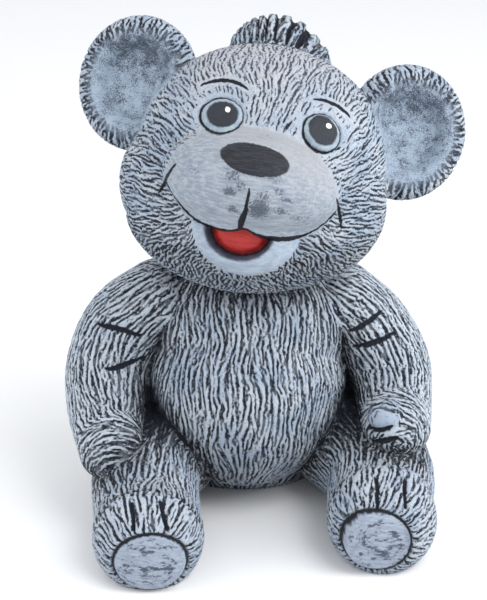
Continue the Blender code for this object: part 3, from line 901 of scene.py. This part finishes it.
def thin_and_set_down(piece):
    """Thins the mesh, takes off any flap that the thinning leaves, and sets it down in metres."""
    share = CASTING_TRIANGLES / (2 * len(piece.data.polygons))
    deselect()
    piece.select_set(True)
    bpy.context.view_layer.objects.active = piece
    bpy.ops.object.mode_set(mode="EDIT")
    bpy.ops.mesh.select_all(action="SELECT")
    bpy.ops.mesh.decimate(ratio=share)
    bpy.ops.mesh.quads_convert_to_tris()
    bpy.ops.mesh.select_all(action="DESELECT")
    bpy.ops.mesh.select_mode(type="EDGE")
    bpy.ops.mesh.select_non_manifold(extend=False, use_non_contiguous=False, use_verts=False)
    bpy.ops.mesh.delete(type="FACE")
    bpy.ops.mesh.select_all(action="SELECT")
    bpy.ops.mesh.normals_make_consistent(inside=False)
    bpy.ops.object.mode_set(mode="OBJECT")
    points = read_vectors(piece.data.vertices, "co")
    points[:, 2] = np.where(points[:, 2] < 0.05, 0, points[:, 2])
    piece.data.vertices.foreach_set("co", points.astype(np.float32).ravel())
    piece.data.transform(Matrix.Scale(MM, 4) @ Matrix.Translation(Vector((-ORIGIN[0], -ORIGIN[1], 0))))
    piece.data.shade_smooth()


# Paint


def paint(name):
    """The named paint, from its screen values."""
    return tuple(((c / 255 + 0.055) / 1.055) ** 2.4 if c > 10 else c / 3294.6 for c in PAINTS[name]) + (1.0,)


def new_group(name, inputs, outputs):
    """A shader node group with its named inputs and outputs."""
    tree = bpy.data.node_groups.new(name, "ShaderNodeTree")
    for label, kind in inputs:
        tree.interface.new_socket(label, in_out="INPUT", socket_type="NodeSocket" + kind)
    for label, kind in outputs:
        tree.interface.new_socket(label, in_out="OUTPUT", socket_type="NodeSocket" + kind)
    return tree, tree.nodes.new("NodeGroupInput").outputs, tree.nodes.new("NodeGroupOutput").inputs


def put(tree, group, **inputs):
    """Places a node group."""
    return chain(tree, "ShaderNodeGroup", {"node_tree": group}, **inputs).outputs[0]


def smoothstep(tree, value, low, high):
    """0 at low, 1 at high, eased between them."""
    eased = {"interpolation_type": "SMOOTHSTEP"}
    return chain(tree, "ShaderNodeMapRange", eased, Value=value, From_Min=low, From_Max=high).outputs[0]


def mix(tree, share, one, other):
    """One colour, or the other where the share is 1."""
    return chain(tree, "ShaderNodeMix", {"data_type": "RGBA"}, Factor=share, _6=one, _7=other).outputs[2]


def times(tree, one, other):
    return maths(tree, "MULTIPLY", one, other)


def add_times(tree, level, one, other):
    """The level with the product of the other two added."""
    return maths(tree, "MULTIPLY_ADD", one, other, level)


def stirred(tree, level, grain, amount):
    """The level raised and lowered by a grain from 0 to 1."""
    return add_times(tree, level, maths(tree, "SUBTRACT", grain, 0.5), amount)


def mapped(tree, vector, kind, location=(0, 0, 0), rotation=(0, 0, 0), scale=(1, 1, 1)):
    places = {"Location": location, "Rotation": rotation, "Scale": scale}
    return chain(tree, "ShaderNodeMapping", {"vector_type": kind}, Vector=vector, **places).outputs[0]


def noise(tree, vector, scale, detail=0.0, roughness=0.5):
    settings = {"Scale": scale, "Detail": detail, "Roughness": roughness}
    return chain(tree, "ShaderNodeTexNoise", Vector=vector, **settings).outputs[0]


def turned(tree, vector, angle):
    """The vector turned about the Y axis."""
    about = {"rotation_type": "Y_AXIS"}
    return chain(tree, "ShaderNodeVectorRotate", about, Vector=vector, Angle=angle).outputs[0]


def furrow_group():
    """The fur's furrows as the paint needs them, sharper than the mesh can hold."""
    inputs = (("Rest", "Vector"), ("Lay", "Vector"), ("Across", "Vector"))
    tree, start, end = new_group("furrows", inputs, (("Depth", "Float"),))
    tree.links.new(furrows(tree, *start[:3]), end[0])
    return tree


def oval_group():
    """1 inside an oval patch in the X and Z of a frame, 0 outside, with a soft edge."""
    places = [(name, "Vector") for name in ("Spot", "Middle", "Radii")]
    inputs = (*places, ("Turn", "Float"), ("Edge", "Float"))
    tree, start, end = new_group("oval patch", inputs, (("Share", "Float"),))
    off = vectors(tree, "SUBTRACT", start["Spot"], start["Middle"])
    off = turned(tree, vectors(tree, "MULTIPLY", off, (1, 0, 1)), start["Turn"])
    off = vectors(tree, "DIVIDE", off, start["Radii"])
    ring = chain(tree, "ShaderNodeVectorMath", {"operation": "LENGTH"}, _0=off).outputs["Value"]
    outer = maths(tree, "ADD", 1.0, start["Edge"])
    inner = maths(tree, "SUBTRACT", 1.0, start["Edge"])
    tree.links.new(smoothstep(tree, ring, outer, inner), end[0])
    return tree


def line_group():
    """1 on a painted line bowed in the X and Z of a frame, thinning out to its ends."""
    sizes = ("Turn", "Half Length", "Bow", "Half Width")
    inputs = (("Spot", "Vector"), ("Middle", "Vector"), *((size, "Float") for size in sizes))
    tree, start, end = new_group("painted line", inputs, (("Share", "Float"),))
    off = turned(tree, vectors(tree, "SUBTRACT", start["Spot"], start["Middle"]), start["Turn"])
    part = chain(tree, "ShaderNodeSeparateXYZ", _0=off)
    along = maths(tree, "DIVIDE", part.outputs["X"], start["Half Length"])
    fall = maths(tree, "SUBTRACT", 1.0, times(tree, along, along), clamp=True)
    gap = maths(tree, "ABSOLUTE", maths(tree, "SUBTRACT", part.outputs["Z"], times(tree, fall, start["Bow"])))
    width = times(tree, maths(tree, "POWER", fall, 0.35), start["Half Width"])
    share = smoothstep(tree, maths(tree, "SUBTRACT", gap, width), 0.3, -0.3)
    tree.links.new(times(tree, share, smoothstep(tree, fall, 0.0, 0.1)), end[0])
    return tree


def bowed(start, middle, end):
    """The middle, turn, half length and bow of a line through three points."""
    start, middle, end = (np.array(p, float) for p in (start, middle, end))
    chord = end - start
    centre = (start + end) / 2
    half = np.linalg.norm(chord) / 2
    side = np.array((-chord[1], chord[0])) / (2 * half)
    return {
        "Middle": (float(centre[0]), 0.0, float(centre[1])),
        "Turn": math.atan2(chord[1], chord[0]),
        "Half_Length": float(half),
        "Bow": float((middle - centre) @ side),
    }


def lip_nodes(tree, spot):
    """Height above the lip line in the head's frame, and how far it lies from the middle."""
    part = chain(tree, "ShaderNodeSeparateXYZ", _0=spot)
    u = maths(tree, "SUBTRACT", part.outputs["X"], LIP_MIDDLE)
    far = maths(tree, "ABSOLUTE", u)
    rise = maths(tree, "POWER", maths(tree, "MINIMUM", maths(tree, "DIVIDE", far, LIP_HALF_WIDTH), 1.2), 4.0)
    near = maths(tree, "DIVIDE", u, LIP_NOTCH_WIDTH)
    notch = maths(tree, "EXPONENT", times(tree, times(tree, near, near), -1.0))
    level = add_times(tree, add_times(tree, LIP_LEVEL, rise, LIP_RISE), notch, LIP_NOTCH)
    return maths(tree, "SUBTRACT", part.outputs["Z"], level), far


class Brush:
    """The nodes that every paint of the material uses: where a spot lies, the grains, and the strokes."""

    def __init__(self, tree):
        self.tree = tree
        self.oval_patch = oval_group()
        self.painted_line = line_group()

        # A hand's wobble on every painted edge
        self.rest = self.read("rest", "Vector")
        wobble = chain(tree, "ShaderNodeTexNoise", Vector=self.rest, Scale=0.35, Detail=2.0).outputs["Color"]
        wobble = vectors(tree, "SUBTRACT", wobble, (0.5, 0.5, 0.5))
        self.wobble = scaled(tree, wobble, 1.6)
        self.face = mapped(tree, self.rest, "TEXTURE", HEAD_CENTRE, head_matrix().to_euler("XYZ"))
        self.on_face = vectors(tree, "ADD", self.face, self.wobble)
        self.face_x, depth, self.face_z = chain(tree, "ShaderNodeSeparateXYZ", _0=self.face).outputs
        self.front = smoothstep(tree, depth, -30.0, -42.0)
        self.above_lip, self.from_middle = lip_nodes(tree, self.on_face)

        # Grains of the cast surface, and the strokes of the brush on smooth places
        self.fine = noise(tree, self.rest, 0.75, 3.0, 0.7)
        self.coarse = noise(tree, self.rest, 0.035, 2.0)
        self.patchy = noise(tree, self.rest, 0.16, 3.0)
        swept = mapped(tree, self.face, "POINT", scale=(0.05, 0.3, 0.5))
        self.swept = smoothstep(tree, noise(tree, swept, 1.0, 3.0, 0.6), 0.3, 0.7)
        streak = mapped(tree, self.face, "POINT", scale=(0.08, 0.5, 1.1))
        self.streak = noise(tree, streak, 1.0, 3.0, 0.7)

    def read(self, name, output="Fac"):
        """An attribute that the carving kept."""
        return chain(self.tree, "ShaderNodeAttribute", {"attribute_name": name}).outputs[output]

    def oval(self, middle, radii, turn=0.0, edge=0.03, spot=None):
        """1 inside an oval, which is on the face unless a spot is given."""
        middle, radii = (middle[0], 0, middle[1]), (radii[0], 1, radii[1])
        place = {"Middle": middle, "Radii": radii, "Turn": turn, "Edge": edge}
        return put(self.tree, self.oval_patch, Spot=self.on_face if spot is None else spot, **place)

    def line(self, points, half_width):
        """1 on a line through three points of the face."""
        return put(self.tree, self.painted_line, Spot=self.on_face, Half_Width=half_width, **bowed(*points))

    def over(self, share, under, over, where=None):
        """One paint laid over another, on the face unless a place is given."""
        return mix(self.tree, times(self.tree, share, self.front if where is None else where), under, over)

    def two_tone(self, name):
        """A smooth place's own paint, brushed to and fro with its paler one."""
        return mix(self.tree, self.swept, paint(name), paint("pale " + name))


def light_and_dark(brush, sky, in_shade):
    """The pale paint of the ridges and the wash in the furrows, with painted light on upward faces and painted
    shade on downward faces and in corners.
    """
    tree = brush.tree
    light = mix(tree, smoothstep(tree, brush.coarse, 0.35, 0.65), paint("ridge"), paint("pale ridge"))
    # Upward faces, most on the head, painted paler and warmer: painted light
    warm = smoothstep(tree, add_times(tree, sky, brush.coarse, 0.5), 0.7, 1.4)
    light = mix(tree, warm, light, paint("warm ridge"))
    # Paler ridges on the arms: heavier pale paint, and painted light from the sides
    light = mix(tree, times(tree, brush.read("paler"), 0.7), light, paint("arm ridge"))
    # Ridges in the corners painted darker: painted shade
    light = mix(tree, maths(tree, "MULTIPLY", in_shade, 0.6, clamp=True), light, paint("ridge in corner shade"))
    # Downward faces painted darker, on ridges and in furrows: painted shade
    under = smoothstep(tree, sky, 0.05, -0.45)
    light = mix(tree, times(tree, under, 0.45), light, paint("shaded ridge"))
    # Furrows on upward faces painted lighter: painted light
    dark = mix(tree, smoothstep(tree, sky, 0.45, 1.0), paint("wash"), paint("lit wash"))
    return light, mix(tree, under, dark, paint("shaded wash"))


def dish_paint(brush):
    """The mottled dishes of the ears, with painted shade darker to their tops under the rims."""
    tree = brush.tree
    lift = add_times(tree, noise(tree, brush.rest, 1.0, 4.0, 0.9), brush.read("dish_shadow"), -0.10)
    lift = stirred(tree, lift, noise(tree, brush.rest, 0.11, 3.0, 0.65), 0.42)
    return mix(tree, smoothstep(tree, lift, 0.36, 0.54), paint("dish wash"), paint("dish"))


def fur_paint(brush):
    """Wash in the furrows and pale paint on the ridges, with the furrows' depth for the relief."""
    tree = brush.tree
    sky, in_shade = brush.read("sky"), brush.read("painted_shade")
    light, dark = light_and_dark(brush, sky, in_shade)
    half = mix(tree, 0.45, dark, light)
    faint = smoothstep(tree, noise(tree, brush.rest, 0.11, 2.0), 0.5, 0.68)
    shadow = mix(tree, times(tree, faint, 0.5), dark, half)

    rough = vectors(tree, "ADD", brush.read("drawn", "Vector"), brush.wobble)
    lie = {"Lay": brush.read("lay", "Vector"), "Across": brush.read("across", "Vector")}
    carved = maths(tree, "ADD", put(tree, furrow_group(), Rest=rough, **lie), brush.read("full"))
    depth = stirred(tree, stirred(tree, carved, brush.fine, 1.9), brush.patchy, 1.7)
    # Painted shade deepens the furrows' dark paint in the corners
    depth = maths(tree, "ADD", depth, in_shade)
    painted = mix(tree, smoothstep(tree, depth, -0.55, 0.45), light, half)
    painted = mix(tree, smoothstep(tree, depth, 0.25, 1.05), painted, shadow)

    speck = smoothstep(tree, brush.fine, 0.58, 0.72)
    painted = mix(tree, times(tree, speck, 0.5), painted, shadow)
    dabs = smoothstep(tree, noise(tree, brush.rest, 0.5, 3.0, 0.75), 0.53, 0.63)
    painted = mix(tree, times(tree, dabs, 0.6), painted, half)
    # The deepest corners painted almost as dark as the wash: painted shade
    corner = smoothstep(tree, in_shade, 1.0, 1.9)
    painted = mix(tree, times(tree, corner, 0.75), painted, dark)
    painted = mix(tree, times(tree, brush.read("dish"), 0.95), painted, dish_paint(brush))

    # Creases, seams and the gaps of the forelock
    line = smoothstep(tree, stirred(tree, brush.read("cut"), brush.fine, 0.5), 0.3, 0.62)
    gaps = smoothstep(tree, brush.read("lock"), 0.35, 0.8)
    return mix(tree, maths(tree, "MAXIMUM", line, gaps), painted, dark), carved


def muzzle_paint(brush, painted):
    """The muzzle's brushed paint, with smudges of wash showing through and painted light on its upper right."""
    tree = brush.tree
    # Upper right of the muzzle painted paler: painted light
    upper = smoothstep(tree, add_times(tree, brush.face_z, brush.face_x, 0.25), -10.0, 40.0)
    pale = mix(tree, times(tree, upper, 0.85), brush.two_tone("muzzle"), paint("lit muzzle top"))
    pale = mix(tree, times(tree, smoothstep(tree, brush.fine, 0.5, 0.72), 0.4), pale, paint("muzzle speck"))
    smudge = 0.0
    for middle, radii, strength in MUZZLE_SMUDGES:
        here = times(tree, brush.oval(middle, [r * 1.2 for r in radii], edge=0.8), strength)
        smudge = maths(tree, "MAXIMUM", here, smudge)
    dab = noise(tree, mapped(tree, brush.rest, "POINT", scale=(1.0, 1.0, 0.7)), 0.75, 4.0, 0.75)
    dab = smoothstep(tree, add_times(tree, dab, smudge, 0.42), 0.69, 0.88)
    pale = mix(tree, times(tree, dab, 0.8), pale, paint("smudge"))
    muzzle = brush.oval(MUZZLE_MIDDLE, MUZZLE_RADII, edge=0.04)
    return brush.over(times(tree, muzzle, smoothstep(tree, brush.above_lip, -0.6, 0.4)), painted, pale)


def mouth_paint(brush, painted):
    """Chin, open mouth and tongue, and where the tongue is."""
    tree = brush.tree
    below_lip = smoothstep(tree, brush.above_lip, 0.4, -0.4)
    chin = times(tree, brush.oval(CHIN_MIDDLE, CHIN_RADII, edge=0.06), below_lip)
    painted = brush.over(times(tree, chin, 0.8), painted, brush.two_tone("chin"))
    below = smoothstep(tree, brush.above_lip, 0.3, -0.5)
    mouth = times(tree, brush.oval(MOUTH_CENTRE, MOUTH_RADII, edge=0.06), below)
    painted = brush.over(mouth, painted, mix(tree, brush.patchy, paint("mouth"), paint("pale mouth")))
    edge = times(tree, brush.oval(TONGUE_CENTRE, [r + 1.4 for r in TONGUE_RADII]), below)
    painted = brush.over(edge, painted, paint("tongue edge"))
    tongue = times(tree, brush.oval(TONGUE_CENTRE, TONGUE_RADII), below)
    return brush.over(tongue, painted, brush.two_tone("tongue")), tongue


def line_paint(brush, painted):
    """Lips, parting, smile and brows."""
    tree = brush.tree
    black = paint("black")
    thick = smoothstep(tree, maths(tree, "ABSOLUTE", maths(tree, "SUBTRACT", brush.face_x, 24.0)), 24.0, 4.0)
    thick = add_times(tree, 1.0, thick, 0.9)
    lip = smoothstep(tree, maths(tree, "SUBTRACT", maths(tree, "ABSOLUTE", brush.above_lip), thick), 0.3, -0.3)
    ends = smoothstep(tree, brush.from_middle, LIP_HALF_WIDTH + 1.5, LIP_HALF_WIDTH - 0.5)
    painted = brush.over(times(tree, lip, ends), painted, black)
    painted = brush.over(brush.line(PARTING_UPPER, 1.2), painted, black)
    lower = times(tree, brush.line(PARTING_LOWER, 2.5), smoothstep(tree, brush.above_lip, -0.5, 0.5))
    painted = brush.over(lower, painted, black)
    for points, width in zip((*BROWS, *SMILE_CREASES), (1.5, 1.4, 1.3, 1.3)):
        painted = brush.over(brush.line(points, width), painted, black)
    return painted


def nose_and_eye_paint(brush, painted):
    """Nose and eyes, and where their smooth dark paint is."""
    tree = brush.tree
    smooth = brush.oval(NOSE_CENTRE, NOSE_RADII, math.radians(-3))
    nose = mix(tree, smoothstep(tree, brush.streak, 0.35, 0.7), paint("nose"), paint("pale nose"))
    painted = brush.over(smooth, painted, nose)
    for eye in EYES:
        middle, radii, turn = eye["middle"], eye["radii"], eye["turn"]
        low = (middle[0] - 0.5, middle[1] - 0.6)
        painted = brush.over(brush.oval(low, [r + 1.6 for r in radii], turn, 0.04), painted, paint("black"))
        ring = mix(tree, brush.patchy, paint("eye ring"), paint("pale eye ring"))
        painted = brush.over(brush.oval(middle, radii, turn), painted, ring)
        edge = brush.oval(eye["pupil"], [r + 0.6 for r in eye["pupil radii"]], turn, 0.06)
        painted = brush.over(edge, painted, paint("pupil edge"))
        pupil = brush.oval(eye["pupil"], eye["pupil radii"], turn)
        painted = brush.over(pupil, painted, mix(tree, brush.streak, paint("pupil"), paint("pale pupil")))
        painted = brush.over(brush.oval(eye["glint"], (GLINT_RADIUS,) * 2, edge=0.12), painted, paint("glint"))
        smooth = maths(tree, "MAXIMUM", pupil, smooth)
    return painted, smooth


def sole_paint(brush, painted):
    """The soles' brushed paint, worn in their middles, inside dark rings."""
    tree = brush.tree
    depth = chain(tree, "ShaderNodeSeparateXYZ", _0=brush.rest).outputs["Y"]
    spot = vectors(tree, "ADD", brush.rest, brush.wobble)
    scuff = noise(tree, mapped(tree, brush.rest, "POINT", scale=(0.08, 0.3, 0.2)), 1.0, 4.0, 0.75)
    for foot in FEET:
        sole_x, sole_y, sole_z = foot["sole"]
        ahead = smoothstep(tree, depth, sole_y + 28.0, sole_y + 22.0)
        ring, disc, middle = (
            brush.oval((sole_x, sole_z), [r * size for r in foot["radii"]], edge=edge, spot=spot)
            for size, edge in ((1.08, 0.04), (0.98, 0.02), (0.8, 0.7))
        )
        worn = smoothstep(tree, add_times(tree, scuff, middle, 0.12), 0.59, 0.70)
        tread = mix(tree, times(tree, worn, 0.85), brush.two_tone("sole"), paint("worn sole"))
        painted = brush.over(ring, painted, paint("black"), ahead)
        painted = brush.over(disc, painted, tread, ahead)
    return painted


def painted_concrete():
    """Pale paint brushed over a charcoal wash, with the face's painted details."""
    material = bpy.data.materials.new("painted_concrete")
    material.use_nodes = True
    tree = material.node_tree
    shader = tree.nodes["Principled BSDF"]
    brush = Brush(tree)
    painted, carved = fur_paint(brush)
    painted = muzzle_paint(brush, painted)
    painted, tongue = mouth_paint(brush, painted)
    painted = line_paint(brush, painted)
    painted, smooth = nose_and_eye_paint(brush, painted)
    painted = sole_paint(brush, painted)
    tree.links.new(painted, shader.inputs["Base Color"])

    shader.inputs["Specular IOR Level"].default_value = 0.3
    smooth = times(tree, maths(tree, "MAXIMUM", smooth, tongue), brush.front)
    rough = add_times(tree, add_times(tree, 0.68, brush.fine, 0.2), smooth, -0.3)
    tree.links.new(rough, shader.inputs["Roughness"])
    sunk = times(tree, smoothstep(tree, carved, -0.4, 1.1), -1.0)
    height = add_times(tree, sunk, brush.fine, 0.9)
    relief = chain(tree, "ShaderNodeBump", Height=height, Distance=0.0011, Strength=0.8)
    tree.links.new(relief.outputs[0], shader.inputs["Normal"])
    return material


# Stage


def build_stage():
    """A pale floor, soft light all round and three wide lamps."""
    bpy.ops.mesh.primitive_plane_add(size=12.0)
    floor = bpy.context.object
    floor.name = "studio_floor"
    paper = bpy.data.materials.new("pale_floor")
    paper.use_nodes = True
    shader = paper.node_tree.nodes["Principled BSDF"]
    shader.inputs["Base Color"].default_value = (0.90, 0.90, 0.905, 1)
    shader.inputs["Roughness"].default_value = 0.9
    floor.data.materials.append(paper)

    world = bpy.data.worlds.new("soft_light")
    bpy.context.scene.world = world
    world.use_nodes = True
    world.node_tree.nodes["Background"].inputs[0].default_value = (0.95, 0.97, 1.0, 1)
    world.node_tree.nodes["Background"].inputs[1].default_value = 0.9

    for name, place, power, size in LAMPS:
        lamp = bpy.data.lights.new(name, "AREA")
        lamp.energy = power
        lamp.size = size
        light = bpy.data.objects.new(name, lamp)
        bpy.context.scene.collection.objects.link(light)
        light.location = place
        light.rotation_euler = (Vector(LAMPS_AIM) - Vector(place)).to_track_quat("-Z", "Y").to_euler()


def build_camera():
    """The photograph's view: from a little left of the front, 24 degrees above the horizon."""
    back = Vector(CAMERA_BACK).normalized()
    swing = math.radians(CAMERA_SWING)
    level = Vector((math.cos(swing), -math.sin(swing), 0))
    lift = back.cross(level)
    roll = math.radians(CAMERA_ROLL)
    right = level * math.cos(roll) + lift * math.sin(roll)
    up = lift * math.cos(roll) - level * math.sin(roll)
    lens = bpy.data.cameras.new("camera")
    camera = bpy.data.objects.new("camera", lens)
    bpy.context.scene.collection.objects.link(camera)
    turn = Matrix((right, up, back)).transposed().to_4x4()
    camera.matrix_world = Matrix.Translation(CAMERA_PLACE) @ turn
    lens.sensor_fit = "VERTICAL"
    lens.sensor_height = 24.0
    lens.lens = CAMERA_LENS
    lens.shift_x = CAMERA_SHIFT
    bpy.context.scene.camera = camera


build_camera()
build_stage()
bear = model_clay()
carve(bear)
thin_and_set_down(bear)
bear.data.materials.clear()
bear.data.materials.append(painted_concrete())
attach(bear, "root")
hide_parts("teddy_bear")
bpy.context.scene.view_settings.view_transform = "Standard"
